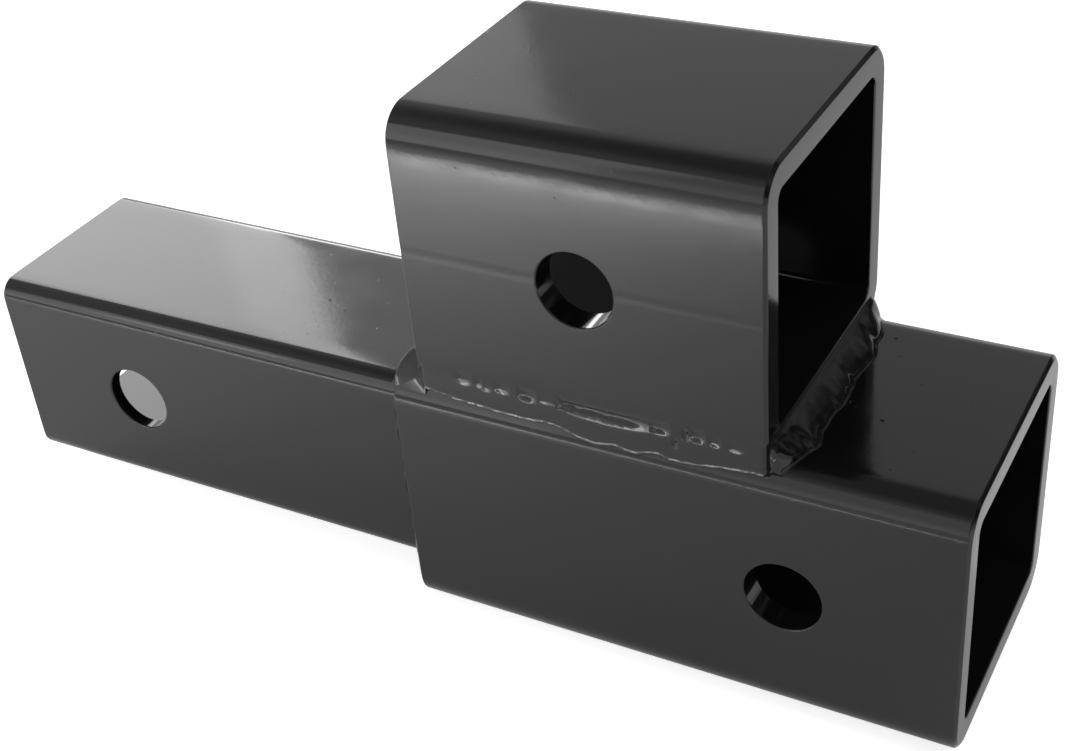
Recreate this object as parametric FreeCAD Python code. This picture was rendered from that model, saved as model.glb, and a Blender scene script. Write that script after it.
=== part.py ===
import FreeCAD, Part
import math
import os

# Raised hitch receiver adapter. A square shank goes into a vehicle's receiver and carries two
# square receiver tubes, the second welded on top of the first.
# X runs along the shank towards the receiver mouths, Z is up and -Y is the near side.
# The origin is the middle of the shank's pin hole.

# Standard sizes that the adapter has to match
INCH = 25.4
SHANK_SIZE = 2.0 * INCH
PIN_DIAMETER = 0.625 * INCH

# Room left on each side where one thing goes into another
SOCKET_CLEARANCE = 0.35
PIN_CLEARANCE = 0.4

# Sections of the tubes. These walls make the receivers 2.5 in square outside
RECEIVER_WALL = 6.0
RECEIVER_CORNER = 7.2
SOCKET_CORNER = 2.6
SHANK_WALL = 3.2
SHANK_CORNER = 4.0
OUTER_EDGE_BREAK = 1.0
INNER_EDGE_BREAK = 0.5
PIN_EDGE_BREAK = 0.45
SOCKET_SIZE = SHANK_SIZE + 2 * SOCKET_CLEARANCE
RECEIVER_SIZE = SOCKET_SIZE + 2 * RECEIVER_WALL
HALF_RECEIVER = RECEIVER_SIZE / 2
PIN_BORE_RADIUS = PIN_DIAMETER / 2 + PIN_CLEARANCE

# Lengths along X
SHANK_REACH = 4.75 * INCH
SHANK_INSERT = 1.75 * INCH
SHANK_PIN_INSET = 1.5 * INCH
LOWER_LENGTH = 5.0 * INCH
LOWER_PIN_INSET = 37.2
UPPER_LENGTH = 79.4
UPPER_SETBACK = 7.6

# Places that follow from the sizes
SHANK_START = -SHANK_PIN_INSET
LOWER_START = SHANK_START + SHANK_REACH
LOWER_END = LOWER_START + LOWER_LENGTH
SHANK_END = LOWER_START + SHANK_INSERT
UPPER_START = LOWER_START + UPPER_SETBACK
UPPER_END = UPPER_START + UPPER_LENGTH
UPPER_AXIS_Z = RECEIVER_SIZE
SEAM_Z = HALF_RECEIVER
CORNER_CENTRE_Y = HALF_RECEIVER - RECEIVER_CORNER

# Every weld bead: how far its toes sink into the tubes before they are trimmed off, the chords
# across its face, and its crescent ripples, whose crowns run ahead of their toes
TOE_BITE = 0.35
FACE_CHORDS = 5
RIPPLE_DEPTH = 0.14
RIPPLE_LEAD = 0.9

# Groove beads, in the long grooves between the receivers' round corners. Their toes are measured
# down and up from the seam, from the shank's end towards the mouth
GROOVE_ROOT_DEPTH = 4.4
GROOVE_ROOT_GAP = 1.8
GROOVE_CROWN = 0.6
GROOVE_SHY_OF_SIDE = 0.15
GROOVE_STATIONS = 33
NEAR_TOE_DROPS = [2.4, 2.9, 2.9, 2.8, 4.2, 4.2, 3.9, 3.0, 2.4]
NEAR_TOE_RISES = [2.6, 3.0, 2.9, 3.6, 4.9, 5.1, 5.2, 4.9, 5.4]
FAR_TOE_DROPS = [2.9, 3.6, 3.3, 3.8, 3.5, 3.9, 3.1]
FAR_TOE_RISES = [4.2, 4.7, 5.1, 4.6, 4.9, 4.4, 4.8]

# End beads, fillets across the upper tube's cut ends. Their legs lie on the lower tube's top and
# are listed from the near side to the far side
END_BEAD_SHY_OF_SOCKET = 0.4
END_BEAD_CROWN = 0.45
END_BEAD_STATIONS = 27
END_BEAD_ROOT_SHY = 0.2
END_BEAD_TIP_INSET = 0.8
END_BEAD_TAPER = 9.0
END_BEAD_TAPER_POWER = 1.5
END_BEAD_TIP_LEG = 0.5
MOUTH_LEGS = [4.6, 5.6, 6.0, 5.2, 5.3, 5.6, 5.3, 5.9, 5.0, 4.5]
SHANK_END_LEGS = [4.6, 4.9, 4.4, 4.8, 4.5, 4.7]
END_BEAD_ROOT = OUTER_EDGE_BREAK - END_BEAD_ROOT_SHY
END_BEAD_HEIGHT = RECEIVER_WALL - END_BEAD_SHY_OF_SOCKET
END_BEAD_TIP_Y = HALF_RECEIVER - END_BEAD_TIP_INSET

# Ring bead, a fillet round the shank on the lower tube's cut end
RING_SHY_OF_EDGE = 0.7
RING_CROWN = 0.4
RING_SIDE_STATIONS = 16
RING_CORNER_STATIONS = 4
RING_LEG = RECEIVER_WALL - OUTER_EDGE_BREAK - RING_SHY_OF_EDGE

# Edges are picked by place, to this closeness
NEAR = 0.05


def square_bar(start, end, size, corner, axis_z):
    """Square bar along X whose four long corners are rounded."""
    low_corner = FreeCAD.Vector(start, -size / 2, axis_z - size / 2)
    bar = Part.makeBox(end - start, size, size, low_corner)
    long_edges = [edge for edge in bar.Edges if edge.BoundBox.XLength > corner]
    return bar.makeFillet(corner, long_edges)


def rim_edges(shape, x_places, size, axis_z):
    """Edges in the cut faces at x_places that lie on a square of this size or inside it."""
    found = []
    for edge in shape.Edges:
        box = edge.BoundBox
        in_cut_face = any(max(abs(box.XMin - x), abs(box.XMax - x)) < NEAR for x in x_places)
        reach = max(-box.YMin, box.YMax, axis_z - box.ZMin, box.ZMax - axis_z)
        if in_cut_face and reach < size / 2 + NEAR:
            found.append(edge)
    return found


def square_tube(start, end, size, corner, bore_size, bore_corner, axis_z):
    """Saw-cut square tube with rounded corners and deburred ends."""
    outside = square_bar(start, end, size, corner, axis_z)
    outside = outside.makeChamfer(OUTER_EDGE_BREAK, rim_edges(outside, (start, end), size, axis_z))
    inside = square_bar(start - size, end + size, bore_size, bore_corner, axis_z)
    tube = outside.cut(inside)
    return tube.makeChamfer(INNER_EDGE_BREAK, rim_edges(tube, (start, end), bore_size, axis_z))


def drill_pin_hole(tube, size, x, axis_z):
    """Pin hole through both side walls, with its outer rims broken."""
    drill_start = FreeCAD.Vector(x, -size, axis_z)
    drill = Part.makeCylinder(PIN_BORE_RADIUS, 2 * size, drill_start, FreeCAD.Vector(0, 1, 0))
    tube = tube.cut(drill)
    rims = []
    for edge in tube.Edges:
        box = edge.BoundBox
        on_side = box.YLength < NEAR and abs(abs(box.YMin) - size / 2) < NEAR
        if on_side and abs(box.XLength - 2 * PIN_BORE_RADIUS) < NEAR:
            rims.append(edge)
    return tube.makeChamfer(PIN_EDGE_BREAK, rims)


def shank_tube():
    """The shank: a thinner tube, open at both ends, that reaches part way into the lower receiver."""
    bore_size = SHANK_SIZE - 2 * SHANK_WALL
    bore_corner = SHANK_CORNER - SHANK_WALL
    tube = square_tube(SHANK_START, SHANK_END, SHANK_SIZE, SHANK_CORNER, bore_size, bore_corner, 0.0)
    return drill_pin_hole(tube, SHANK_SIZE, 0.0, 0.0)


def receiver_tube(start, end, pin_x, axis_z):
    """One receiver: a socket for a 2 in shank, with a hole for its pin."""
    tube = square_tube(start, end, RECEIVER_SIZE, RECEIVER_CORNER, SOCKET_SIZE, SOCKET_CORNER, axis_z)
    return drill_pin_hole(tube, RECEIVER_SIZE, pin_x, axis_z)


def along(values, fraction):
    """Value at a fraction of the way along a list, eased from each entry to the next."""
    place = fraction * (len(values) - 1)
    index = min(int(place), len(values) - 2)
    step = place - index
    eased = step * step * (3 - 2 * step)
    return values[index] * (1 - eased) + values[index + 1] * eased


def ripple_at(station, stations):
    """Crown height and crown lead of the ripple at a station, both nil at the bead's two ends."""
    if station in (0, stations - 1):
        return 0.0, 0.0
    height = RIPPLE_DEPTH if station % 2 else -RIPPLE_DEPTH
    return height, RIPPLE_LEAD


def bead_section(first_toe, crown, second_toe, roots):
    """Closed wire of a weld's section: a convex face from toe to toe, and flats through its roots."""
    face = Part.Arc(first_toe, crown, second_toe).discretize(FACE_CHORDS + 1)
    return Part.makePolygon(face + roots + [first_toe])


def laid_bead(sections, tubes, closed=False):
    """Weld metal through its sections, trimmed to the faces of the tubes that it joins."""
    bead = Part.makeLoft(sections, True, True, closed)
    for tube in tubes:
        bead = bead.cut(tube)
    return max(bead.Solids, key=lambda solid: solid.Volume)


def corner_y(offset):
    """Distance from the middle plane to a receiver's round corner, at a height off the seam."""
    return CORNER_CENTRE_Y + math.sqrt(RECEIVER_CORNER**2 - (RECEIVER_CORNER - offset)**2)


def lower_top_z(y):
    """Height of the lower tube's top, which falls away over its round corners."""
    past_flat = max(0.0, abs(y) - CORNER_CENTRE_Y)
    return SEAM_Z - RECEIVER_CORNER + math.sqrt(RECEIVER_CORNER**2 - past_flat**2)


def groove_bead(side, toe_drops, toe_rises, tubes):
    """Long bead in the groove between the two receivers, on the side given by the sign."""
    start = UPPER_START + END_BEAD_ROOT
    length = UPPER_LENGTH - 2 * END_BEAD_ROOT
    sections = []
    for station in range(GROOVE_STATIONS):
        fraction = station / (GROOVE_STATIONS - 1)
        x = start + length * fraction
        ripple, lead = ripple_at(station, GROOVE_STATIONS)
        drop = along(toe_drops, fraction)
        rise = along(toe_rises, fraction)
        crown_y = (corner_y(drop) + corner_y(rise)) / 2 + GROOVE_CROWN + ripple
        crown_y = min(crown_y, HALF_RECEIVER - GROOVE_SHY_OF_SIDE)
        low_toe = FreeCAD.Vector(x, side * (corner_y(drop) - TOE_BITE), SEAM_Z - drop)
        high_toe = FreeCAD.Vector(x, side * (corner_y(rise) - TOE_BITE), SEAM_Z + rise)
        crown = FreeCAD.Vector(x + lead, side * crown_y, SEAM_Z + (rise - drop) / 2)
        root_y = side * (HALF_RECEIVER - GROOVE_ROOT_DEPTH)
        high_root = FreeCAD.Vector(x, root_y, SEAM_Z + GROOVE_ROOT_GAP / 2)
        low_root = FreeCAD.Vector(x, root_y, SEAM_Z - GROOVE_ROOT_GAP / 2)
        sections.append(bead_section(low_toe, crown, high_toe, [high_root, low_root]))
    return laid_bead(sections, tubes)


def end_bead(face_x, outward, legs, tubes):
    """Fillet across the upper tube's cut end at face_x, tapering round both corners."""
    root_x = face_x - outward * END_BEAD_ROOT
    high_x = face_x - outward * TOE_BITE
    high_z = SEAM_Z + END_BEAD_HEIGHT
    sections = []
    for station in range(END_BEAD_STATIONS):
        fraction = station / (END_BEAD_STATIONS - 1)
        y = END_BEAD_TIP_Y * (2 * fraction - 1)
        ripple, lead = ripple_at(station, END_BEAD_STATIONS)
        into_taper = max(0.0, abs(y) - END_BEAD_TIP_Y + END_BEAD_TAPER) / END_BEAD_TAPER
        fullness = 1 - into_taper**END_BEAD_TAPER_POWER
        leg = END_BEAD_TIP_LEG + (along(legs, fraction) - END_BEAD_TIP_LEG) * fullness
        low_z = lower_top_z(y) - TOE_BITE
        low_toe = FreeCAD.Vector(face_x + outward * leg, y, low_z)
        high_toe = FreeCAD.Vector(high_x, y, high_z)
        bulge = END_BEAD_CROWN + ripple
        crown = (low_toe + high_toe) * 0.5 + FreeCAD.Vector(outward * bulge, lead, bulge)
        high_root = FreeCAD.Vector(root_x, y, high_z)
        low_root = FreeCAD.Vector(root_x, y, low_z)
        sections.append(bead_section(low_toe, crown, high_toe, [high_root, low_root]))
    return laid_bead(sections, tubes)


def ring_places():
    """Places round the shank: the centre of its corner arc or its side's foot, and the way out."""
    flat = SHANK_SIZE / 2 - SHANK_CORNER
    places = []
    for quarter in range(4):
        side_angle = quarter * math.pi / 2
        across = FreeCAD.Vector(0, math.cos(side_angle), math.sin(side_angle))
        sideways = FreeCAD.Vector(0, -math.sin(side_angle), math.cos(side_angle))
        side_foot = FreeCAD.Vector(LOWER_START, 0, 0) + across * flat
        for step in range(RING_SIDE_STATIONS):
            slide = flat * (2 * step / RING_SIDE_STATIONS - 1)
            places.append((side_foot + sideways * slide, across))
        for step in range(RING_CORNER_STATIONS):
            turn = math.pi / 2 * step / RING_CORNER_STATIONS
            outward = across * math.cos(turn) + sideways * math.sin(turn)
            places.append((side_foot + sideways * flat, outward))
    return places


def shank_ring_bead(tubes):
    """Fillet all round the shank, on the lower tube's cut end."""
    to_shank_end = FreeCAD.Vector(-1, 0, 0)
    sections = []
    for station, (centre, outward) in enumerate(ring_places()):
        ripple = RIPPLE_DEPTH if station % 2 else -RIPPLE_DEPTH
        root = centre + outward * (SHANK_CORNER - TOE_BITE) - to_shank_end * TOE_BITE
        shank_toe = root + to_shank_end * (RING_LEG + TOE_BITE)
        rim_toe = root + outward * (RING_LEG + TOE_BITE)
        bulge = RING_CROWN + ripple
        crown = (shank_toe + rim_toe) * 0.5 + (outward + to_shank_end) * bulge
        sections.append(bead_section(shank_toe, crown, rim_toe, [root]))
    return laid_bead(sections, tubes, True)


lower = receiver_tube(LOWER_START, LOWER_END, LOWER_END - LOWER_PIN_INSET, 0.0)
upper = receiver_tube(UPPER_START, UPPER_END, (UPPER_START + UPPER_END) / 2, UPPER_AXIS_Z)
shank = shank_tube()

parts = {
    "shank_tube": shank,
    "lower_receiver_tube": lower,
    "upper_receiver_tube": upper,
    "near_groove_weld": groove_bead(-1, NEAR_TOE_DROPS, NEAR_TOE_RISES, [lower, upper]),
    "far_groove_weld": groove_bead(1, FAR_TOE_DROPS, FAR_TOE_RISES, [lower, upper]),
    "mouth_end_weld": end_bead(UPPER_END, 1, MOUTH_LEGS, [lower, upper]),
    "shank_end_weld": end_bead(UPPER_START, -1, SHANK_END_LEGS, [lower, upper]),
    "shank_ring_weld": shank_ring_bead([lower, shank]),
}

os.makedirs("parts", exist_ok=True)
for name, shape in parts.items():
    shape.exportStep(f"parts/{name}.step")
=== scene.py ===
import math

import bmesh
import bpy
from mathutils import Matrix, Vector


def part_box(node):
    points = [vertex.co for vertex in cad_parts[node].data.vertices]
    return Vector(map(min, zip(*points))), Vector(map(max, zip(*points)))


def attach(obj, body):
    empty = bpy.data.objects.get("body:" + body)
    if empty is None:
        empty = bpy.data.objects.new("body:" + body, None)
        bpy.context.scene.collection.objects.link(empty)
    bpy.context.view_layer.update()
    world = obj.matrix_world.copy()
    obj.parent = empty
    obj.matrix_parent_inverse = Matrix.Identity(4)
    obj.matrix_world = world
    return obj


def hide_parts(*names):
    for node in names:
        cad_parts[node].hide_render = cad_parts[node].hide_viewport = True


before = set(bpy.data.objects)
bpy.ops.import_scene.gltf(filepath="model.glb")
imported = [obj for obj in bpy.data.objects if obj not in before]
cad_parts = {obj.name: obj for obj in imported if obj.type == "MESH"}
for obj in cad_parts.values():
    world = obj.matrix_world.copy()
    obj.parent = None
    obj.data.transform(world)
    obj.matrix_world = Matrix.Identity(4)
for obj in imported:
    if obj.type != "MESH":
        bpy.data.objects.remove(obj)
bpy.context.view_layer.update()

# Lower receiver: a length of 2.5 in square steel tube with rolled round corners, sawn off square
# and deburred. Its pin hole is drilled through both side walls, and the rest is welded to it.
# One coat of gloss black paint, with a little orange peel, covers the whole weldment.

MM = 0.001
RECEIVER_CORNER = 7.1
SOCKET_CORNER = 2.6
SOCKET_SIZE = 51.5
EASE_LENGTH = 4.0
EASE_STEPS = 4
EASE_ANGLE = math.radians(1.2)
CORNER_STEPS = 14
EDGE_BREAK = 0.75
EDGE_SHAPE = [(1.15, 0.0), (0.93, 0.035), (0.8, 0.13), (0.13, 0.8), (0.035, 0.93), (0.0, 1.15)]
INNER_BREAK = 0.45
INNER_SHAPE = [(0.0, 1.0), (0.3, 0.3), (1.0, 0.0)]
PIN_BORE_RADIUS = 8.34
PIN_RIM_BREAK = 0.45
PIN_RIM_SHAPE = [(0.0, 1.0), (0.12, 0.62), (0.62, 0.12), (1.0, 0.0)]
PIN_SEGMENTS = 96
DRILL_OVERRUN = 4
STRIP_SEAM_HEIGHT = 1.0
STRIP_SEAM_ACROSS = [1.6, 1.2, 0.8, 0.4, 0.0, -0.4, -0.8, -1.2, -1.6]
SHARP_ANGLE = math.radians(34)
LOWER_PIN_INSET = 37.2

COAT_DARK = (0.004, 0.004, 0.0041, 1)
COAT_LIGHT = (0.0075, 0.0075, 0.0076, 1)
COAT_PATCHES = (38, 3)
GLOSS_PATCHES = (90, 4)
GLOSS_PATCH_RANGE = (0.3, 0.7)
PAINT_IOR = 1.5
PAINT_WAVES = (55, 1)
WAVE_HEIGHT = 1.0
ORANGE_PEEL = (900, 2)
PEEL_HEIGHT = 0.1
NIB_SCALE = 260
NIB_SIZE = 0.09
NIB_HEIGHT = 0.08
NIB_STRENGTH = 0.35


def node_box(node):
    """Lowest and highest corner of a CAD node, in mm."""
    low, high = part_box(node)
    return low / MM, high / MM


def corner_line(half, corner, ease_angle):
    """One rolled corner as (across, up), from one side to the next. A roller eases the bend's start."""
    drop = math.tan(ease_angle) * EASE_LENGTH / 2
    middle = half - drop - corner * math.cos(ease_angle)
    start = middle + corner * math.sin(ease_angle)
    side = []
    for step in range(EASE_STEPS):
        share = step / EASE_STEPS
        side.append((half - drop * share**2, start - EASE_LENGTH * (1 - share)))
    bend = []
    for step in range(CORNER_STEPS + 1):
        turn = ease_angle + (math.pi / 2 - 2 * ease_angle) * step / CORNER_STEPS
        bend.append((middle + corner * math.cos(turn), middle + corner * math.sin(turn)))
    return side + bend + [(up, across) for across, up in reversed(side)]


def strip_seam(size, depth):
    """The tube's own lengthwise weld, ground down to a shallow groove in its near side, as (y, z)."""
    reach = STRIP_SEAM_ACROSS[0]
    return [
        (depth * (1 + math.cos(math.pi * away / reach)) / 2 - size / 2, STRIP_SEAM_HEIGHT + away)
        for away in STRIP_SEAM_ACROSS
    ]


def square_ring(x, size, corner, axis_z, ease_angle, inset, seam):
    """One loop round a square with rounded corners, at a place along X, set in from its own outline."""
    loop = []
    line = corner_line(size / 2, corner, ease_angle)
    shrink = 1 - 2 * inset / size
    for quarter in range(4):
        angle = quarter * math.pi / 2
        cosine, sine = round(math.cos(angle)), round(math.sin(angle))
        around = [(across * cosine - up * sine, across * sine + up * cosine) for across, up in line]
        if quarter == 1:
            around += seam
        loop += [(x * MM, y * shrink * MM, (axis_z + z * shrink) * MM) for y, z in around]
    return loop


def tube_rings(start, end, size, corner, bore, bore_corner, axis_z, seam_depth):
    """Loops along the outside, round one rim, back through the bore and round the other rim."""
    seam, bore_seam = strip_seam(size, seam_depth), strip_seam(bore, 0.0)
    rings = []
    for x, into in ((start, 1), (end, -1)):
        outer = [
            square_ring(
                x + into * EDGE_BREAK * deep, size, corner, axis_z, EASE_ANGLE, EDGE_BREAK * aside, seam
            )
            for deep, aside in EDGE_SHAPE
        ]
        inner = [
            square_ring(
                x + into * INNER_BREAK * deep, bore, bore_corner, axis_z, 0.0, -INNER_BREAK * aside, bore_seam
            )
            for deep, aside in INNER_SHAPE
        ]
        rings.append(outer + inner)
    start_rings, end_rings = rings
    return start_rings[::-1] + end_rings


def bridge(grid, loops, closed):
    """Quads between neighbouring loops. The last joins the first, or the two end loops get flat caps."""
    count = len(loops[0])
    following = loops[1:] + (loops[:1] if closed else [])
    for first, second in zip(loops, following):
        for index in range(count):
            after = (index + 1) % count
            grid.faces.new((first[index], first[after], second[after], second[index]))
    if not closed:
        grid.faces.new(loops[0])
        grid.faces.new(loops[-1])
    bmesh.ops.recalc_face_normals(grid, faces=grid.faces)


def placed(name, grid):
    """The grid as an object of its own in the scene."""
    mesh = bpy.data.meshes.new(name)
    grid.to_mesh(mesh)
    grid.free()
    piece = bpy.data.objects.new(name, mesh)
    bpy.context.scene.collection.objects.link(piece)
    return piece


def pin_drill(x, axis_z, half_width):
    """Drill that leaves a broken rim on both outer faces."""
    outside = half_width + DRILL_OVERRUN
    rim = [
        (-half_width + PIN_RIM_BREAK * deep, PIN_BORE_RADIUS + PIN_RIM_BREAK * aside)
        for deep, aside in PIN_RIM_SHAPE
    ]
    profile = [(-outside, rim[0][1] + outside - half_width)] + rim
    profile += [(-y, radius) for y, radius in reversed(profile)]
    drill = bmesh.new()
    loops = []
    for y, radius in profile:
        loop = []
        for segment in range(PIN_SEGMENTS):
            angle = 2 * math.pi * segment / PIN_SEGMENTS
            place = (x + radius * math.cos(angle), y, axis_z + radius * math.sin(angle))
            loop.append(drill.verts.new(Vector(place) * MM))
        loops.append(loop)
    bridge(drill, loops, False)
    return placed("pin_drill", drill)


def finished(piece):
    """The piece with its modifiers turned into plain mesh."""
    bpy.context.view_layer.update()
    graph = bpy.context.evaluated_depsgraph_get()
    mesh = bpy.data.meshes.new_from_object(piece.evaluated_get(graph), depsgraph=graph)
    piece.modifiers.clear()
    piece.data = mesh
    return piece


def shade_smooth(mesh, sharp_angle):
    """Smooth shading, but for the edges that turn by more than an angle."""
    for face in mesh.polygons:
        face.use_smooth = True
    mesh.set_sharp_from_angle(angle=sharp_angle)


def drilled_tube(name, corner, bore, bore_corner, pin_x, seam_depth=0.0):
    """A whole tube piece in the place of the CAD node of nearly the same name."""
    low, high = node_box(name)
    size = high.y - low.y
    axis_z = (low.z + high.z) / 2
    rings = tube_rings(low.x, high.x, size, corner, bore, bore_corner, axis_z, seam_depth)
    grid = bmesh.new()
    bridge(grid, [[grid.verts.new(place) for place in ring] for ring in rings], True)
    tube = placed(name + "_painted", grid)
    drill = pin_drill(pin_x, axis_z, size / 2)
    hole = tube.modifiers.new("pin_hole", "BOOLEAN")
    hole.object = drill
    hole.solver = "EXACT"
    finished(tube)
    bpy.data.objects.remove(drill)
    shade_smooth(tube.data, SHARP_ANGLE)
    weighted = tube.modifiers.new("flat_sides", "WEIGHTED_NORMAL")
    weighted.keep_sharp = True
    return finished(tube)


def add_node(tree, kind, settings=None, inputs=None):
    """A node with its settings and unlinked inputs."""
    node = tree.nodes.new(kind)
    for key, value in (settings or {}).items():
        setattr(node, key, value)
    for key, value in (inputs or {}).items():
        node.inputs[key].default_value = value
    return node


def noise(tree, place, scale, detail):
    """Soft random field on a place, from 0 to 1."""
    texture = add_node(tree, "ShaderNodeTexNoise", inputs={"Scale": scale, "Detail": detail})
    tree.links.new(place, texture.inputs["Vector"])
    return texture.outputs["Fac"]


def remap(tree, value, from_low, from_high, to_low, to_high, easing="LINEAR"):
    """One range turned into another, held at its ends."""
    limits = {"From Min": from_low, "From Max": from_high, "To Min": to_low, "To Max": to_high}
    mapped = add_node(tree, "ShaderNodeMapRange", {"interpolation_type": easing}, limits)
    tree.links.new(value, mapped.inputs["Value"])
    return mapped.outputs["Result"]


def bump(tree, height, distance, strength, below=None):
    """Relief of a height in mm, laid over the relief below it."""
    layer = add_node(tree, "ShaderNodeBump", inputs={"Strength": strength, "Distance": distance * MM})
    tree.links.new(height, layer.inputs["Height"])
    if below is not None:
        tree.links.new(below, layer.inputs["Normal"])
    return layer.outputs["Normal"]


def gloss_black_paint(name, peel_strength, wave_strength, least_rough, most_rough):
    """Gloss black paint: soft waves, orange peel and dust nibs, over a nearly black coat."""
    paint = bpy.data.materials.new(name)
    paint.use_nodes = True
    tree = paint.node_tree
    surface = tree.nodes["Principled BSDF"]
    place = tree.nodes.new("ShaderNodeTexCoord").outputs["Object"]
    tone = add_node(tree, "ShaderNodeMix", {"data_type": "RGBA"})
    tone.inputs["A"].default_value = COAT_DARK
    tone.inputs["B"].default_value = COAT_LIGHT
    tree.links.new(noise(tree, place, *COAT_PATCHES), tone.inputs["Factor"])
    tree.links.new(tone.outputs["Result"], surface.inputs["Base Color"])
    dullness = remap(tree, noise(tree, place, *GLOSS_PATCHES), *GLOSS_PATCH_RANGE, least_rough, most_rough)
    tree.links.new(dullness, surface.inputs["Roughness"])
    surface.inputs["IOR"].default_value = PAINT_IOR
    waves = bump(tree, noise(tree, place, *PAINT_WAVES), WAVE_HEIGHT, wave_strength)
    peel = bump(tree, noise(tree, place, *ORANGE_PEEL), PEEL_HEIGHT, peel_strength, waves)
    nib_field = add_node(tree, "ShaderNodeTexVoronoi", inputs={"Scale": NIB_SCALE})
    tree.links.new(place, nib_field.inputs["Vector"])
    nibs = remap(tree, nib_field.outputs["Distance"], 0.0, NIB_SIZE, 1.0, 0.0)
    tree.links.new(bump(tree, nibs, NIB_HEIGHT, NIB_STRENGTH, peel), surface.inputs["Normal"])
    return paint


tube_paint = gloss_black_paint(
    "tube_gloss_black", peel_strength=0.07, wave_strength=0.02, least_rough=0.09, most_rough=0.14
)

lower_low, lower_high = node_box("lower_receiver_tube")
lower_pin_x = lower_high.x - LOWER_PIN_INSET
lower_tube = drilled_tube(
    "lower_receiver_tube", RECEIVER_CORNER, SOCKET_SIZE, SOCKET_CORNER, lower_pin_x
)
lower_tube.data.materials.clear()
lower_tube.data.materials.append(tube_paint)
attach(lower_tube, "root")
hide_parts("lower_receiver_tube")

# Shank: a length of thinner 2 in square tube, with its own pin hole near the end that goes into
# the vehicle. Its other end is pushed into the lower receiver before it is welded there.

SHANK_CORNER = 4.6
SHANK_BORE = 44.4
SHANK_BORE_CORNER = 0.8
SHANK_PIN_X = 0.0

shank_low, shank_high = node_box("shank_tube")
shank = drilled_tube("shank_tube", SHANK_CORNER, SHANK_BORE, SHANK_BORE_CORNER, SHANK_PIN_X)
shank.data.materials.clear()
shank.data.materials.append(tube_paint)
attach(shank, "root")
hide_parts("shank_tube")

# Upper receiver: a shorter length of the same tube as the lower one, laid flat on top of it with
# its side walls in line. Its pin hole is midway along it, and the tube's own seam, ground nearly
# flush, runs along its near side.

STRIP_SEAM_DEPTH = 0.035

upper_low, upper_high = node_box("upper_receiver_tube")
upper_pin_x = (upper_low.x + upper_high.x) / 2
upper_tube = drilled_tube(
    "upper_receiver_tube", RECEIVER_CORNER, SOCKET_SIZE, SOCKET_CORNER, upper_pin_x, STRIP_SEAM_DEPTH
)
upper_tube.data.materials.clear()
upper_tube.data.materials.append(tube_paint)
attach(upper_tube, "root")
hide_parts("upper_receiver_tube")

# Groove welds: one long bead on each side fills the groove between the two receivers' round corners,
# flush with their walls. The weld metal rolled over in a wavy lip along the bead's lower toe and set
# in small hollow pools.

SEAM_Z = lower_high.z
HALF_RECEIVER = (lower_high.y - lower_low.y) / 2
CORNER_LINE = corner_line(HALF_RECEIVER, RECEIVER_CORNER, EASE_ANGLE)
SIDE_LIMIT = HALF_RECEIVER - 0.1
STATION_PITCH = 0.25
TOE_STEPS = 6
SKIRT_REACH = 0.8
SKIRT_SUNK = 0.05
ROOT_ACROSS = 2.0
ROOT_SUNK = 4.4
ROOT_HALF_HEIGHT = 1.0
NEAR_LIP_LINE = [
    (90.6, 31.4), (93.4, 31.1), (98.2, 30.3), (105.1, 29.9), (110.7, 29.6), (116.2, 29.6), (121.0, 29.9),
    (124.0, 29.6), (127.8, 28.3), (132.3, 27.8), (136.1, 28.4), (140.5, 27.9), (145.8, 29.1), (148.7, 28.4),
    (153.7, 28.6), (160.2, 29.6), (167.2, 30.1), (169.5, 30.2),
]
NEAR_HIGH_TOE = [(90.6, 37.2), (96, 38.1), (130, 38.3), (164, 38.1), (169.5, 37.2)]
FAR_LIP_LINE = [
    (90.6, 29.4), (102, 28.5), (113, 28.9), (127, 28.4), (141, 28.7), (155, 28.3), (169.5, 29.3),
]
FAR_HIGH_TOE = [(90.6, 37.0), (97, 38.0), (127, 38.3), (163, 38.1), (169.5, 36.8)]
NEAR_POOLS = [
    (101.7, 34.9, 1.9, 0.85, 9.8), (105.4, 34.9, 0.9, 0.7, 9.8), (107.1, 34.3, 1.1, 0.65, 9.8),
    (110.8, 34.8, 1.9, 0.75, 9.8), (116.7, 34.6, 2.2, 1.15, 9.8), (116.7, 34.6, 1.1, 0.45, 6),
    (121.3, 34.7, 2.0, 0.5, 9.4), (123.8, 34.3, 0.6, 0.5, 20), (126.2, 34.9, 1.8, 0.95, 9.8),
    (135.0, 34.4, 10.8, 1.75, 9.8), (131.0, 34.7, 3.4, 0.65, 5), (137.8, 34.5, 4.4, 0.7, 5),
    (146.6, 34.5, 2.3, 1.15, 9.8), (146.6, 34.5, 1.1, 0.45, 6), (149.8, 31.8, 0.6, 0.55, 26),
    (152.2, 34.3, 0.75, 0.65, 26), (154.7, 34.6, 1.8, 1.05, 9.8), (154.7, 34.6, 0.8, 0.4, 6),
    (158.4, 34.3, 1.3, 0.75, 9.8), (162.8, 34.1, 1.7, 0.6, 9.6),
]
FAR_POOLS = [
    (98.5, 34.2, 2.4, 0.8, 12), (107.0, 34.3, 3.0, 0.8, 12), (116.0, 34.0, 2.9, 0.9, 12),
    (126.5, 34.4, 4.0, 0.9, 12), (138.0, 34.1, 3.3, 0.8, 12), (147.0, 34.4, 2.7, 0.8, 12),
    (156.0, 33.9, 3.2, 0.9, 12), (164.0, 34.2, 2.6, 0.8, 12),
]
POOL_RECOVERY = 3.2
LIP_NOSE = 0.75
LIP_FLANK = 0.55
LIP_RISE = 0.112
LIP_WANDER = [(0.05, 1.9, 0.0), (0.04, 0.83, 2.0)]
FLANK_STEPS = 5
FACE_INSET = 0.215
FACE_HOLLOW = 0.25
FACE_TURN_Z = 32.6
HOLLOW_Z = 35.6
GROOVE_STEPS = 42
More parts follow.
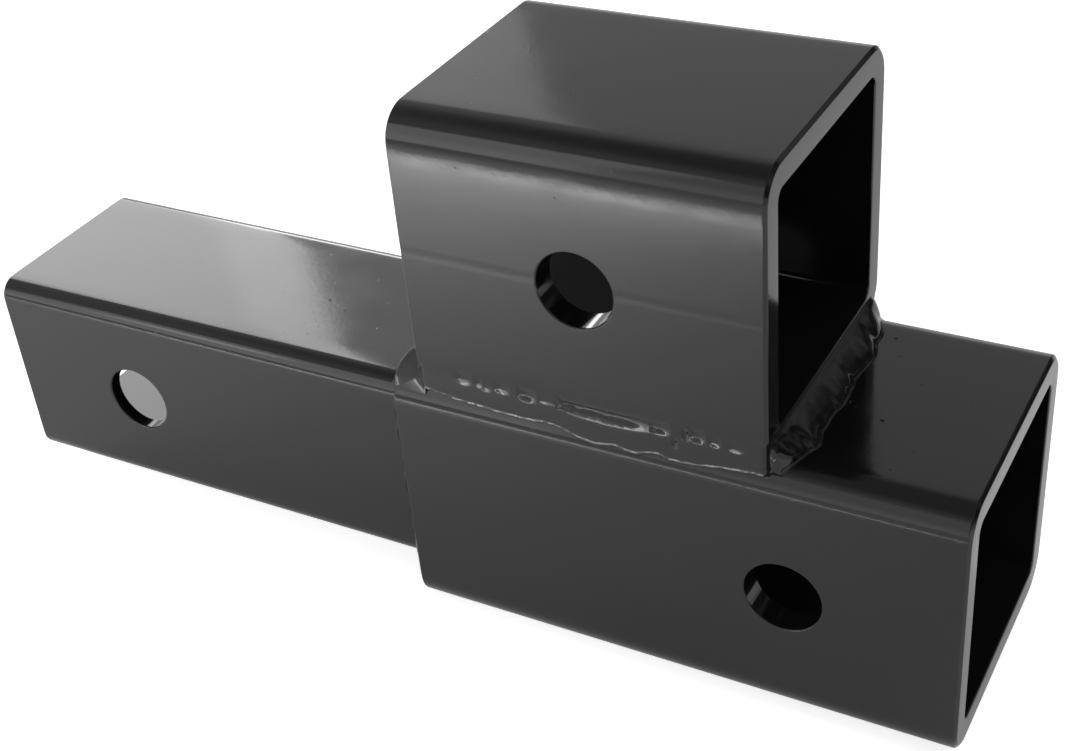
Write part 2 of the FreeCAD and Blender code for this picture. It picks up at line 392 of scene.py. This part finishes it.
GROOVE_HEART = (3.0, 0.6)
GROOVE_END_LENGTH = 1.2
END_STUB = 0.03
BEAD_SHARP_ANGLE = math.radians(60)

RIPPLE_WANDER = 3.0
RIPPLE_WANDER_FIELD = (160, 0.3)
RIPPLE_VALLEY = 0.6
FINE_LUMP_FIELD = (420, 5.1)
BROAD_LUMP_FIELD = (230, 9.7)
RELIEF_FADE_START = 0.62


def between(places, at):
    """Value at a place along a list of (place, value), in straight steps."""
    for (before, low), (after, high) in zip(places, places[1:]):
        if at <= after:
            return low + (high - low) * min(1.0, max(0.0, (at - before) / (after - before)))
    return places[-1][1]


def swept(places, at):
    """Value at a place along a list of (place, value), on a smooth curve through them."""
    at = min(max(at, places[0][0]), places[-1][0])
    slopes = []
    for index in range(len(places)):
        before, after = places[max(index - 1, 0)], places[min(index + 1, len(places) - 1)]
        slopes.append((after[1] - before[1]) / (after[0] - before[0]))
    for index, ((before, low), (after, high)) in enumerate(zip(places, places[1:])):
        if at <= after:
            gap = after - before
            share = (at - before) / gap
            rise = low + (high - low) * share**2 * (3 - 2 * share)
            leave = slopes[index] * gap * share * (1 - share) ** 2
            arrive = slopes[index + 1] * gap * share**2 * (1 - share)
            return rise + leave - arrive


def wandering(waves, at):
    """Sum of slow waves, each given as (height, pace, start), at a place along a bead."""
    return sum(height * math.sin(at * pace + start) for height, pace, start in waves)


def corner_y(z):
    """How far from the middle plane a receiver's round corner is, at a height near the seam."""
    reach = HALF_RECEIVER - abs(z - SEAM_Z)
    return between([(up, across) for across, up in CORNER_LINE], reach)


def pooled(pools, along, height):
    """How far set pools sink into the face. A pool is (along, height, its two radii, tilt in degrees)."""
    lift = 0.0
    for middle, level, half_length, half_height, tilt in pools:
        chord = half_height * math.sqrt(max(0.0, 1 - ((along - middle) / half_length) ** 2))
        low, high = level - chord, level + chord
        if chord > 0 and height > low:
            drop = math.tan(math.radians(tilt)) * (min(height, high) - low)
            lift -= drop * min(1.0, max(0.0, 1 - (height - high) / (POOL_RECOVERY * half_height)))
    return lift


def curved(start, corner, end, share):
    """Place on a short curve that leaves and arrives along the two sides of a corner."""
    return start * (1 - share) ** 2 + corner * 2 * share * (1 - share) + end * share**2


def rounded_end(to_end, length):
    """Share of its full size that a bead has at a distance from its end."""
    left = max(0.0, 1 - to_end / length)
    return math.sqrt(max(0.0, 1 - left * left)) * (1 - END_STUB) + END_STUB


def shrunk(section, middle, size):
    """A section drawn in towards its middle, as at the end of a bead."""
    return [(middle + (place - middle) * size, across) for place, across in section]


def groove_line(crest_z, high_z, pools, x):
    """Half of a groove bead's section as (out, up, across): lip, its flank, the face and the high toe."""
    crest_y = HALF_RECEIVER - FACE_INSET + LIP_RISE
    toe_z, flank_z = crest_z - LIP_NOSE, crest_z + LIP_FLANK
    line = [(corner_y(toe_z - SKIRT_REACH) - SKIRT_SUNK, toe_z - SKIRT_REACH)]
    toe = Vector((corner_y(toe_z) - SKIRT_SUNK, toe_z))
    under, crest = Vector((crest_y, crest_z - LIP_NOSE / 2)), Vector((crest_y, crest_z))
    for step in range(TOE_STEPS):
        line.append(tuple(curved(toe, under, crest, step / TOE_STEPS)))
    for step in range(FLANK_STEPS):
        share = step / FLANK_STEPS
        line.append((crest_y - LIP_RISE * share, crest_z + LIP_FLANK * share))
    depths = [
        (flank_z, FACE_INSET), (FACE_TURN_Z, FACE_INSET), (HOLLOW_Z, FACE_HOLLOW),
        (high_z, HALF_RECEIVER - corner_y(high_z)),
    ]
    for step in range(GROOVE_STEPS + 1):
        z = flank_z + (high_z - flank_z) * step / GROOVE_STEPS
        line.append((HALF_RECEIVER - swept(depths, z) + pooled(pools, x, z), z))
    line.append((corner_y(high_z + SKIRT_REACH) - SKIRT_SUNK, high_z + SKIRT_REACH))
    return [(out, up, 2 * (up - toe_z) / (high_z - toe_z) - 1) for out, up in line]


def groove_sections(side, lip_line, high_toes, pools):
    """Sections of a groove bead from its shank end to its mouth end, on the side that -1 or 1 gives."""
    start, end = lip_line[0][0], lip_line[-1][0]
    stations = round((end - start) / STATION_PITCH)
    heart_depth, heart_rise = GROOVE_HEART
    root_y = side * (HALF_RECEIVER - ROOT_SUNK)
    sections = []
    for station in range(stations + 1):
        x = start + (end - start) * station / stations
        crest_z = swept(lip_line, x) - LIP_FLANK / 2 + wandering(LIP_WANDER, x)
        line = [
            (Vector((x, side * out, up)), across)
            for out, up, across in groove_line(crest_z, swept(high_toes, x), pools, x)
        ]
        line += [
            (Vector((x, root_y, SEAM_Z + rise)), ROOT_ACROSS)
            for rise in (ROOT_HALF_HEIGHT, -ROOT_HALF_HEIGHT)
        ]
        heart = Vector((x, side * (HALF_RECEIVER - heart_depth), SEAM_Z + heart_rise))
        size = rounded_end(min(x - start, end - x), GROOVE_END_LENGTH)
        section = [
            (Vector((place.x, side * min(side * place.y, SIDE_LIMIT), place.z)), across)
            for place, across in shrunk(line, heart, size)
        ]
        sections.append([(place, across, x) for place, across in section])
    return sections


def bead_skin(name, sections, closed):
    """Closed skin through sections of (place, across, along), with across and along kept on its points."""
    grid = bmesh.new()
    across_layer = grid.verts.layers.float.new("across")
    along_layer = grid.verts.layers.float.new("along")
    loops = []
    for section in sections:
        loop = []
        for place, across, along in section:
            point = grid.verts.new(place * MM)
            point[across_layer] = across
            point[along_layer] = along
            loop.append(point)
        loops.append(loop)
    bridge(grid, loops, closed)
    bead = placed(name, grid)
    shade_smooth(bead.data, BEAD_SHARP_ANGLE)
    return bead


def reckon(tree, operation, *values):
    """A sum of sockets and numbers."""
    node = add_node(tree, "ShaderNodeMath", {"operation": operation})
    for socket, value in zip(node.inputs, values):
        if isinstance(value, (int, float)):
            socket.default_value = value
        else:
            tree.links.new(value, socket)
    return node.outputs["Value"]


def new_tree(name, numbers):
    """A Geometry Nodes tree with a mesh, a material and named numbers going in, and a mesh coming out."""
    tree = bpy.data.node_groups.new(name, "GeometryNodeTree")
    tree.interface.new_socket("Geometry", in_out="INPUT", socket_type="NodeSocketGeometry")
    tree.interface.new_socket("Material", in_out="INPUT", socket_type="NodeSocketMaterial")
    for number in numbers:
        kind = "NodeSocketInt" if number == "Seed" else "NodeSocketFloat"
        tree.interface.new_socket(number, in_out="INPUT", socket_type=kind)
    tree.interface.new_socket("Geometry", in_out="OUTPUT", socket_type="NodeSocketGeometry")
    return tree, tree.nodes.new("NodeGroupInput").outputs


def kept_on_points(tree, name):
    """A number that was kept on the mesh's points."""
    read = add_node(tree, "GeometryNodeInputNamedAttribute", {"data_type": "FLOAT"}, {"Name": name})
    return read.outputs["Attribute"]


def end_tree(tree, geometry, material):
    """Real mesh in the given material at the tree's end."""
    realized = tree.nodes.new("GeometryNodeRealizeInstances")
    painted = tree.nodes.new("GeometryNodeSetMaterial")
    result = tree.nodes.new("NodeGroupOutput")
    tree.links.new(geometry, realized.inputs["Geometry"])
    tree.links.new(realized.outputs["Geometry"], painted.inputs["Geometry"])
    tree.links.new(material, painted.inputs["Material"])
    tree.links.new(painted.outputs["Geometry"], result.inputs["Geometry"])


def weld_ripple_tree():
    """Lifts a smooth bead's face into crescent ripples and lumps, and leaves its toes alone."""
    tree, given = new_tree("weld_ripples", [
        "Ripple Pitch", "Ripple Depth", "Ripple Lead", "Lump Height", "Side Limit", "Seed",
    ])
    across, along = kept_on_points(tree, "across"), kept_on_points(tree, "along")

    def field(scale, shift):
        """Random field about 0, of its own for each seed and shift."""
        texture = add_node(
            tree, "ShaderNodeTexNoise", {"noise_dimensions": "4D"}, {"Scale": scale, "Detail": 1.0}
        )
        tree.links.new(reckon(tree, "ADD", given["Seed"], shift), texture.inputs["W"])
        return reckon(tree, "SUBTRACT", texture.outputs["Fac"], 0.5)

    wander = reckon(tree, "MULTIPLY", field(*RIPPLE_WANDER_FIELD), RIPPLE_WANDER)
    trailing = reckon(tree, "MULTIPLY", reckon(tree, "MULTIPLY", across, across), given["Ripple Lead"])
    laid = reckon(tree, "ADD", reckon(tree, "ADD", along, trailing), wander)
    phase = reckon(tree, "MULTIPLY", reckon(tree, "DIVIDE", laid, given["Ripple Pitch"]), math.pi)
    hump = reckon(tree, "SUBTRACT", reckon(tree, "ABSOLUTE", reckon(tree, "SINE", phase)), RIPPLE_VALLEY)
    ripple = reckon(tree, "MULTIPLY", hump, given["Ripple Depth"])
    both_lumps = reckon(tree, "ADD", field(*FINE_LUMP_FIELD), field(*BROAD_LUMP_FIELD))
    lumps = reckon(tree, "MULTIPLY", both_lumps, given["Lump Height"])
    off_middle = reckon(tree, "ABSOLUTE", across)
    fade = remap(tree, off_middle, RELIEF_FADE_START, 1.0, 1.0, 0.0, "SMOOTHSTEP")
    relief = reckon(tree, "MULTIPLY", reckon(tree, "ADD", ripple, lumps), fade)
    offset = add_node(tree, "ShaderNodeVectorMath", {"operation": "SCALE"})
    tree.links.new(tree.nodes.new("GeometryNodeInputNormal").outputs["Normal"], offset.inputs["Vector"])
    tree.links.new(reckon(tree, "MULTIPLY", relief, MM), offset.inputs["Scale"])
    moved = tree.nodes.new("GeometryNodeSetPosition")
    tree.links.new(given["Geometry"], moved.inputs["Geometry"])
    tree.links.new(offset.outputs["Vector"], moved.inputs["Offset"])

    place = add_node(tree, "ShaderNodeSeparateXYZ")
    tree.links.new(tree.nodes.new("GeometryNodeInputPosition").outputs["Position"], place.inputs["Vector"])
    near_limit = reckon(tree, "MULTIPLY", given["Side Limit"], -1.0)
    short_of_far = reckon(tree, "MINIMUM", place.outputs["Y"], given["Side Limit"])
    held = add_node(tree, "ShaderNodeCombineXYZ")
    tree.links.new(place.outputs["X"], held.inputs["X"])
    tree.links.new(reckon(tree, "MAXIMUM", short_of_far, near_limit), held.inputs["Y"])
    tree.links.new(place.outputs["Z"], held.inputs["Z"])
    kept = tree.nodes.new("GeometryNodeSetPosition")
    tree.links.new(moved.outputs["Geometry"], kept.inputs["Geometry"])
    tree.links.new(held.outputs["Vector"], kept.inputs["Position"])
    end_tree(tree, kept.outputs["Geometry"], given["Material"])
    return tree


def grow(piece, tree, material, **numbers):
    """Runs a tree on a piece with the given inputs, and keeps the result as plain mesh."""
    modifier = piece.modifiers.new(tree.name, "NODES")
    modifier.node_group = tree
    sockets = {item.name: item.identifier for item in tree.interface.items_tree if item.in_out == "INPUT"}
    modifier[sockets["Material"]] = material
    for name, value in numbers.items():
        modifier[sockets[name.replace("_", " ")]] = value
    return finished(piece)


weld_paint = gloss_black_paint(
    "weld_gloss_black", peel_strength=0.05, wave_strength=0.0, least_rough=0.04, most_rough=0.08
)
weld_ripples = weld_ripple_tree()
groove_welds = {
    "near_groove_weld": (-1, NEAR_LIP_LINE, NEAR_HIGH_TOE, NEAR_POOLS, 3),
    "far_groove_weld": (1, FAR_LIP_LINE, FAR_HIGH_TOE, FAR_POOLS, 8),
}
for node_name, (side, lip_line, high_toes, pools, seed) in groove_welds.items():
    bead = bead_skin(node_name + "_bead", groove_sections(side, lip_line, high_toes, pools), False)
    grow(
        bead, weld_ripples, weld_paint, Ripple_Pitch=2.1, Ripple_Depth=0.008, Ripple_Lead=2.4,
        Lump_Height=0.035, Side_Limit=SIDE_LIMIT * MM, Seed=seed,
    )
    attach(bead, "root")
    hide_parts(node_name)

# End welds: a fillet across each sawn end of the upper receiver, from its rim down to the lower
# receiver's flat top. Each runs out round the corners, where it meets the groove welds.

MOUTH_TOE = [
    (-30.3, 170.9), (-29.3, 171.5), (-27.0, 173.2), (-24.0, 174.4), (-20.7, 175.6), (-17.0, 174.9),
    (-13.9, 174.7), (-9.4, 174.8), (-5.0, 175.4), (-1.0, 175.1), (3.0, 174.6), (6.8, 174.9),
    (12.7, 175.5), (17.0, 174.4), (21.3, 174.1), (25.0, 172.6), (28.0, 171.6), (30.2, 171.0),
]
SHANK_END_TOE = [
    (-31.2, 82.8), (-30.0, 82.9), (-28.0, 83.3), (-25.5, 84.2), (-20.0, 85.2), (-12.0, 85.3), (-4.0, 85.8),
    (5.0, 85.4), (13.0, 85.7), (20.0, 85.3), (27.0, 85.9), (30.2, 88.0),
]
MOUTH_TOP = [(-30.3, 33.6), (-29.2, 35.8), (-27.0, 37.0), (24.0, 37.15), (28.0, 36.4), (30.2, 33.6)]
SHANK_END_TOP = [(-31.2, 39.2), (-29.0, 39.3), (-24.0, 37.8), (30.2, 37.15)]
MOUTH_BULGE = [(-30.3, 0.5), (30.2, 0.5)]
SHANK_END_BULGE = [(-31.2, 2.0), (-29.0, 1.7), (-25.0, 0.6), (30.2, 0.5)]
MOUTH_ROUNDING = 0.8
SHANK_END_ROUNDING = 0.7
FAR_ROUNDING = 3.2
MOUTH_LEAN = 0.0
SHANK_END_LEAN = 0.26
LEAN_REACH = 7.0
END_WANDER = [(0.05, 1.7, 0.0), (0.07, 0.9, 1.0)]
END_SKIRT_RISE = 0.35
END_FACING = (0.75, 0.66)
END_ROOT_SUNK = 0.9
END_ROOT_DROP = 0.3
END_HEART = (0.2, 0.6)
FACE_STEPS = 22
FACE_BUNCHING = 1.3
CROWN_POWER = 3
TOE_FILLET = 1.1
TOE_FILLET_LIMIT = 0.25
LOW_FILLET_SHARE = 0.3
SKIRT_ACROSS = 0.2


def lower_top_z(y):
    """Height of the lower receiver's top, which falls away over its round corners."""
    return between([(up, across) for across, up in CORNER_LINE], abs(y))


def crowned(share):
    """Fullness of an evenly rounded bead."""
    return 1 - abs(2 * share - 1) ** CROWN_POWER


def face_line(toes, outward, bulge):
    """A fillet's section from skirt to skirt as (place, across), eased into the tube at both toes."""
    low_skirt, low_toe, high_toe, high_skirt = toes
    span = high_toe - low_toe
    ease = min(TOE_FILLET_LIMIT, TOE_FILLET / span.length)
    low_ease = ease * LOW_FILLET_SHARE

    def over(share):
        """Place on the face, a share of the way from the low toe to the high one."""
        return low_toe + span * share + outward * bulge * crowned(share)

    line = []
    for step in range(TOE_STEPS):
        share = step / TOE_STEPS
        across = -1 - SKIRT_ACROSS + (SKIRT_ACROSS + 2 * low_ease) * share
        line.append((curved(low_skirt, low_toe, over(low_ease), share), across))
    for step in range(FACE_STEPS + 1):
        share = low_ease + (1 - ease - low_ease) * (step / FACE_STEPS) ** FACE_BUNCHING
        line.append((over(share), 2 * share - 1))
    for step in range(1, TOE_STEPS + 1):
        share = step / TOE_STEPS
        across = 1 - 2 * ease + (SKIRT_ACROSS + 2 * ease) * share
        line.append((curved(over(1 - ease), high_toe, high_skirt, share), across))
    return line


def end_sections(face_x, outward, toes, tops, bulges, rounding, end_lean):
    """Sections of an end fillet from its near tip to its far one. Outward is -1 or 1, along X."""
    start, end = toes[0][0], toes[-1][0]
    stations = round((end - start) / STATION_PITCH)
    facing_x, facing_z = END_FACING
    heart_out, heart_drop = END_HEART
    root_x = face_x - outward * END_ROOT_SUNK
    sections = []
    for station in range(stations + 1):
        y = start + (end - start) * station / stations
        toe_x = swept(toes, y) + outward * wandering(END_WANDER, y)
        low_z, high_z = lower_top_z(y), swept(tops, y)
        toes_here = (
            Vector((toe_x + outward * SKIRT_REACH, y, low_z - SKIRT_SUNK)),
            Vector((toe_x, y, low_z)),
            Vector((face_x, y, high_z)),
            Vector((face_x - outward * SKIRT_SUNK, y, high_z + END_SKIRT_RISE)),
        )
        line = face_line(toes_here, Vector((outward * facing_x, 0, facing_z)), swept(bulges, y))
        line += [
            (Vector((root_x, y, high_z)), ROOT_ACROSS),
            (Vector((root_x, y, low_z - END_ROOT_DROP)), ROOT_ACROSS),
        ]
        heart = Vector((face_x + outward * heart_out, y, (low_z + high_z) / 2 - heart_drop))
        size = min(rounded_end(y - start, rounding), rounded_end(end - y, FAR_ROUNDING))
        lean = end_lean * max(0.0, 1 - (y - start) / LEAN_REACH)
        sections.append([
            (place + Vector((0, lean * (place.z - low_z), 0)), across, y)
            for place, across in shrunk(line, heart, size)
        ])
    return sections


end_welds = {
    "mouth_end_weld": (21, upper_high.x, 1, MOUTH_TOE, MOUTH_TOP, MOUTH_BULGE, MOUTH_ROUNDING, MOUTH_LEAN),
    "shank_end_weld": (
        34, upper_low.x, -1,
        SHANK_END_TOE, SHANK_END_TOP, SHANK_END_BULGE, SHANK_END_ROUNDING, SHANK_END_LEAN,
    ),
}
for node_name, (seed, *shape) in end_welds.items():
    bead = bead_skin(node_name + "_bead", end_sections(*shape), False)
    grow(
        bead, weld_ripples, weld_paint, Ripple_Pitch=4.6, Ripple_Depth=0.01, Ripple_Lead=2.2,
        Lump_Height=0.05, Side_Limit=SIDE_LIMIT * MM, Seed=seed,
    )
    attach(bead, "root")
    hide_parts(node_name)

# Ring weld: a fillet all round the shank where it goes into the lower receiver, on that tube's
# sawn end. It is laid in one go, so its ripples follow each other round the shank's corners.

HALF_SHANK = (shank_high.y - shank_low.y) / 2
RING_PITCH = 0.4
RING_LEG = 3.95
RING_WANDER = [(0.25, 0.9, 0.0), (0.2, 0.37, 1.0)]
RING_SKIRT = 0.45
RING_FACING = 0.7
RING_BULGE = 0.5
RING_ROOT_SUNK = 0.3


def ring_sections(face_x):
    """Sections of the ring fillet, once round the shank's flats and corners."""
    flat = HALF_SHANK - SHANK_CORNER
    side_length, corner_length = 2 * flat, SHANK_CORNER * math.pi / 2
    lap = 4 * (side_length + corner_length)
    stations = round(lap / RING_PITCH)
    back = Vector((-1, 0, 0))
    sections = []
    for station in range(stations):
        travelled = lap * station / stations
        quarter, past = divmod(travelled, side_length + corner_length)
        side_angle = quarter * math.pi / 2
        across = Vector((0, math.cos(side_angle), math.sin(side_angle)))
        sideways = Vector((0, -math.sin(side_angle), math.cos(side_angle)))
        turn = max(0.0, past - side_length) / SHANK_CORNER
        slide = min(past, side_length) - flat
        outward = across * math.cos(turn) + sideways * math.sin(turn)
        foot = Vector((face_x, 0, 0)) + across * flat + sideways * slide + outward * SHANK_CORNER
        leg = RING_LEG + wandering(RING_WANDER, travelled)
        toes = (
            foot + back * (leg + SKIRT_REACH) - outward * SKIRT_SUNK,
            foot + back * leg,
            foot + outward * leg,
            foot + outward * (leg + RING_SKIRT) - back * SKIRT_SUNK,
        )
        line = face_line(toes, (outward + back) * RING_FACING, RING_BULGE)
        line.append((foot - outward * RING_ROOT_SUNK - back * RING_ROOT_SUNK, ROOT_ACROSS))
        sections.append([(place, share, travelled) for place, share in line])
    return sections


ring = bead_skin("shank_ring_weld_bead", ring_sections(lower_low.x), True)
grow(
    ring, weld_ripples, weld_paint, Ripple_Pitch=2.4, Ripple_Depth=0.2, Ripple_Lead=2.0,
    Lump_Height=0.3, Side_Limit=SIDE_LIMIT * MM, Seed=55,
)
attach(ring, "root")
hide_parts("shank_ring_weld")

# Spatter: drops of weld metal that the arc threw on the tubes beside the beads. They stuck half sunk
# and were painted over, and the largest hangs at the near end of the shank end weld.

SHANK_TOP_Z = shank_high.z
SPATTER = [
    (90.7, -30.5, 35.9, 0.75), (91.2, -30.7, 34.7, 0.45),
    (176.3, -4.7, SEAM_Z, 0.34), (184.3, -8.2, SEAM_Z, 0.42), (177.4, 20.9, SEAM_Z, 0.3),
    (174.9, 4.0, SEAM_Z, 0.32), (187.6, 6.3, SEAM_Z, 0.2), (180.4, 14.8, SEAM_Z, 0.18),
    (193.1, -15.6, SEAM_Z, 0.2), (199.0, 3.1, SEAM_Z, 0.16), (46.1, -1.7, SHANK_TOP_Z, 0.3),
    (52.1, -4.2, SHANK_TOP_Z, 0.26), (63.4, 8.8, SHANK_TOP_Z, 0.2), (70.9, -12.5, SHANK_TOP_Z, 0.24),
    (58.2, -15.1, SHANK_TOP_Z, 0.16), (73.6, 4.9, SHANK_TOP_Z, 0.22),
]


def spatter_tree():
    """A flattened drop of its own size on every point."""
    tree, given = new_tree("spatter", ["Flatness"])
    size = kept_on_points(tree, "size")
    drop = add_node(tree, "GeometryNodeMeshIcoSphere", inputs={"Radius": MM, "Subdivisions": 3})
    rounded = tree.nodes.new("GeometryNodeSetShadeSmooth")
    tree.links.new(drop.outputs["Mesh"], rounded.inputs["Geometry"])
    scale = add_node(tree, "ShaderNodeCombineXYZ")
    tree.links.new(size, scale.inputs["X"])
    tree.links.new(size, scale.inputs["Y"])
    tree.links.new(reckon(tree, "MULTIPLY", size, given["Flatness"]), scale.inputs["Z"])
    thrown = tree.nodes.new("GeometryNodeInstanceOnPoints")
    tree.links.new(given["Geometry"], thrown.inputs["Points"])
    tree.links.new(rounded.outputs["Geometry"], thrown.inputs["Instance"])
    tree.links.new(scale.outputs["Vector"], thrown.inputs["Scale"])
    end_tree(tree, thrown.outputs["Instances"], given["Material"])
    return tree


spatter_mesh = bpy.data.meshes.new("weld_spatter")
spatter_mesh.from_pydata([Vector((x, y, z)) * MM for x, y, z, radius in SPATTER], [], [])
spatter_sizes = spatter_mesh.attributes.new("size", "FLOAT", "POINT")
for point, (x, y, z, radius) in zip(spatter_sizes.data, SPATTER):
    point.value = radius
spatter = bpy.data.objects.new("weld_spatter", spatter_mesh)
bpy.context.scene.collection.objects.link(spatter)
grow(spatter, spatter_tree(), weld_paint, Flatness=0.7)
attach(spatter, "root")

# Stage: the object stands on white paper under soft studio lamps. Gloss black paint shows what it
# mirrors, so the paper, the darker table in front of it, the lamps and two black cards on the mouth's
# side are set where the photo's bright and dark parts call for them.

FLOOR_Z = lower_low.z
SWEEP_REACH = 4000
PAPER_EDGE_Y = -236
PAPER_DULLNESS = 0.9
WHITE_TO_CAMERA = 1.3
CARD_GREY = 0.06
# Soft patches of glow on the cards, with no lamp behind them: a painted reflection of soft grey clouds in the
# paint.
CARD_GLOW_PATCHES = (4.5, 1)
CARD_GLOW_RANGE = (0.42, 0.66)
CARD_PATCH_GLOW = 0.3
CARD_BOTTOM = 20
CARD_TOP = 900
CARDS = {
    "side_card": ((165, 640), (1100, 200)),
    "right_card": ((1100, 200), (1100, -700)),
}


def stage_sheet(name, corners, finish):
    """Flat stage piece through its corners, in mm."""
    mesh = bpy.data.meshes.new(name)
    mesh.from_pydata([Vector(corner) * MM for corner in corners], [], [tuple(range(len(corners)))])
    mesh.materials.append(finish)
    sheet = bpy.data.objects.new(name, mesh)
    bpy.context.scene.collection.objects.link(sheet)
    return sheet


def matt_finish(name, grey):
    """Matt grey that mirrors nothing, and its surface, to which a glow can be linked."""
    finish = bpy.data.materials.new(name)
    finish.use_nodes = True
    surface = finish.node_tree.nodes["Principled BSDF"]
    surface.inputs["Base Color"].default_value = (grey, grey, grey, 1)
    surface.inputs["Specular IOR Level"].default_value = 0.0
    surface.inputs["Emission Color"].default_value = (1, 1, 1, 1)
    return finish, surface


def seen_directly(tree):
    """1 for camera, mirrored and refracted rays, and 0 for the rays that light things."""
    path = tree.nodes.new("ShaderNodeLightPath").outputs
    seen = reckon(tree, "MAXIMUM", path["Is Camera Ray"], path["Is Glossy Ray"])
    return reckon(tree, "MAXIMUM", seen, path["Is Transmission Ray"])


def white_sheet(name, near_y, far_y, grey, mirrored_glow):
    """Part of the white ground. To the camera it is plain white with the object's shadow on it."""
    finish, surface = matt_finish(name + "_white", grey)
    surface.inputs["Roughness"].default_value = PAPER_DULLNESS
    tree = finish.node_tree
    camera_ray = tree.nodes.new("ShaderNodeLightPath").outputs["Is Camera Ray"]
    seen = reckon(tree, "MULTIPLY", seen_directly(tree), mirrored_glow)
    lifted = reckon(tree, "MULTIPLY", camera_ray, WHITE_TO_CAMERA - grey)
    tree.links.new(reckon(tree, "ADD", seen, lifted), surface.inputs["Emission Strength"])
    stage_sheet(name, [
        (-SWEEP_REACH, near_y, FLOOR_Z), (SWEEP_REACH, near_y, FLOOR_Z),
        (SWEEP_REACH, far_y, FLOOR_Z), (-SWEEP_REACH, far_y, FLOOR_Z),
    ], finish)


white_sheet("paper", PAPER_EDGE_Y, SWEEP_REACH, grey=0.8, mirrored_glow=0.18)
white_sheet("table", -SWEEP_REACH, PAPER_EDGE_Y, grey=0.1, mirrored_glow=0.85)

card_black, card_surface = matt_finish("card_black", CARD_GREY)
card_tree = card_black.node_tree
card_place = card_tree.nodes.new("ShaderNodeTexCoord").outputs["Object"]
card_noise = noise(card_tree, card_place, *CARD_GLOW_PATCHES)
card_glow_patches = remap(card_tree, card_noise, *CARD_GLOW_RANGE, 0.0, CARD_PATCH_GLOW)
card_tree.links.new(card_glow_patches, card_surface.inputs["Emission Strength"])
# The cards show only in the paint's reflections, not to the camera, in diffuse light or in shadows. They
# paint a dark reflection, and their glow patches paint grey reflections on it.
for card_name, (card_start, card_end) in CARDS.items():
    card = stage_sheet(card_name, [
        (*card_start, CARD_BOTTOM), (*card_end, CARD_BOTTOM),
        (*card_end, CARD_TOP), (*card_start, CARD_TOP),
    ], card_black)
    card.visible_camera = False
    card.visible_diffuse = False
    card.visible_shadow = False

SKY_LIGHT = 0.4
HORIZON_BAND = (0.12, 0.34)
SKY_ABOVE_HORIZON = 0.58
ZENITH_BAND = (0.76, 0.9)
SKY_AT_ZENITH = 0.38

scene = bpy.context.scene
scene.view_settings.view_transform = "Standard"
world = bpy.data.worlds.new("studio")
world.use_nodes = True
scene.world = world
sky_tree = world.node_tree
sky = sky_tree.nodes["Background"]
sky.inputs["Color"].default_value = (1, 1, 1, 1)
sky_place = add_node(sky_tree, "ShaderNodeSeparateXYZ")
sky_tree.links.new(sky_tree.nodes.new("ShaderNodeTexCoord").outputs["Generated"], sky_place.inputs["Vector"])
horizon = remap(sky_tree, sky_place.outputs["Z"], *HORIZON_BAND, 1.0, SKY_ABOVE_HORIZON)
zenith = remap(sky_tree, sky_place.outputs["Z"], *ZENITH_BAND, 1.0, SKY_AT_ZENITH)
lighting = remap(sky_tree, seen_directly(sky_tree), 0.0, 1.0, SKY_LIGHT, 0.0)
mirrored = reckon(sky_tree, "MULTIPLY", horizon, zenith)
seen_sky = reckon(sky_tree, "MULTIPLY", seen_directly(sky_tree), mirrored)
camera_sky = sky_tree.nodes.new("ShaderNodeLightPath").outputs["Is Camera Ray"]
sky_level = reckon(sky_tree, "MAXIMUM", reckon(sky_tree, "ADD", lighting, seen_sky), camera_sky)
sky_tree.links.new(sky_level, sky.inputs["Strength"])

# Lamps: each one's place, aim, width and height, watts, and whether the paint mirrors it.
LAMPS = {
    "back_left_softbox": ((-466, 314, 330), (0, 0, 30), (390, 340), 1.4, True),
    "back_left_glow": ((-326, 521, 330), (140, 207, 30), (210, 340), 0.13, True),
    "low_back_window": ((-306, 506, 222), (130, -28, 57), (150, 130), 0.4, True),
    "front_panel": ((-235, -541, 300), (-235, 0, 300), (770, 520), 0.57, True),
    "front_left_window": ((-365, -540, 320), (-365, 0, 320), (510, 560), 0.8, True),
    "window_middle": ((-420, -539, 315), (-420, 0, 315), (140, 150), 0.14, True),
    "paper_lamp": ((-62, -270, 69), (-62, -270, 0), (230, 110), 1.05, False),
    "paper_edge_lamp": ((60, -231, -25), (60, -231, -30), (620, 4), 0.27, False),
    "right_paper_lamp": ((470, 20, 180), (470, 20, 0), (160, 160), 0.45, False),
    "overhead_softbox": ((60, 60, 700), (80, 0, 30), (500, 640), 0.5, False),
}
for lamp_name, (place, aim, (width, height), watts, mirrored_too) in LAMPS.items():
    lamp = bpy.data.lights.new(lamp_name, "AREA")
    lamp.shape = "RECTANGLE"
    lamp.size, lamp.size_y = width * MM, height * MM
    lamp.energy = watts
    lamp_object = bpy.data.objects.new(lamp_name, lamp)
    lamp_object.location = Vector(place) * MM
    lamp_object.rotation_euler = (Vector(aim) - Vector(place)).to_track_quat("-Z", "Y").to_euler()
    lamp_object.visible_camera = False
    lamp_object.visible_glossy = mirrored_too
    scene.collection.objects.link(lamp_object)

# Camera: a pinhole with the photograph's framing and angle.
CAMERA_PLACE = (269.38, -276.20, 235.92)
CAMERA_TURN = (55.698, 4.626, 28.187)
CAMERA_LENS = 57.245
CAMERA_SENSOR = 36.0
CAMERA_CLIP_START = 10

camera_data = bpy.data.cameras.new("camera")
camera_data.lens = CAMERA_LENS
camera_data.sensor_width = CAMERA_SENSOR
camera_data.clip_start = CAMERA_CLIP_START * MM
camera = bpy.data.objects.new("camera", camera_data)
camera.location = Vector(CAMERA_PLACE) * MM
camera.rotation_euler = [math.radians(angle) for angle in CAMERA_TURN]
scene.collection.objects.link(camera)
scene.camera = camera
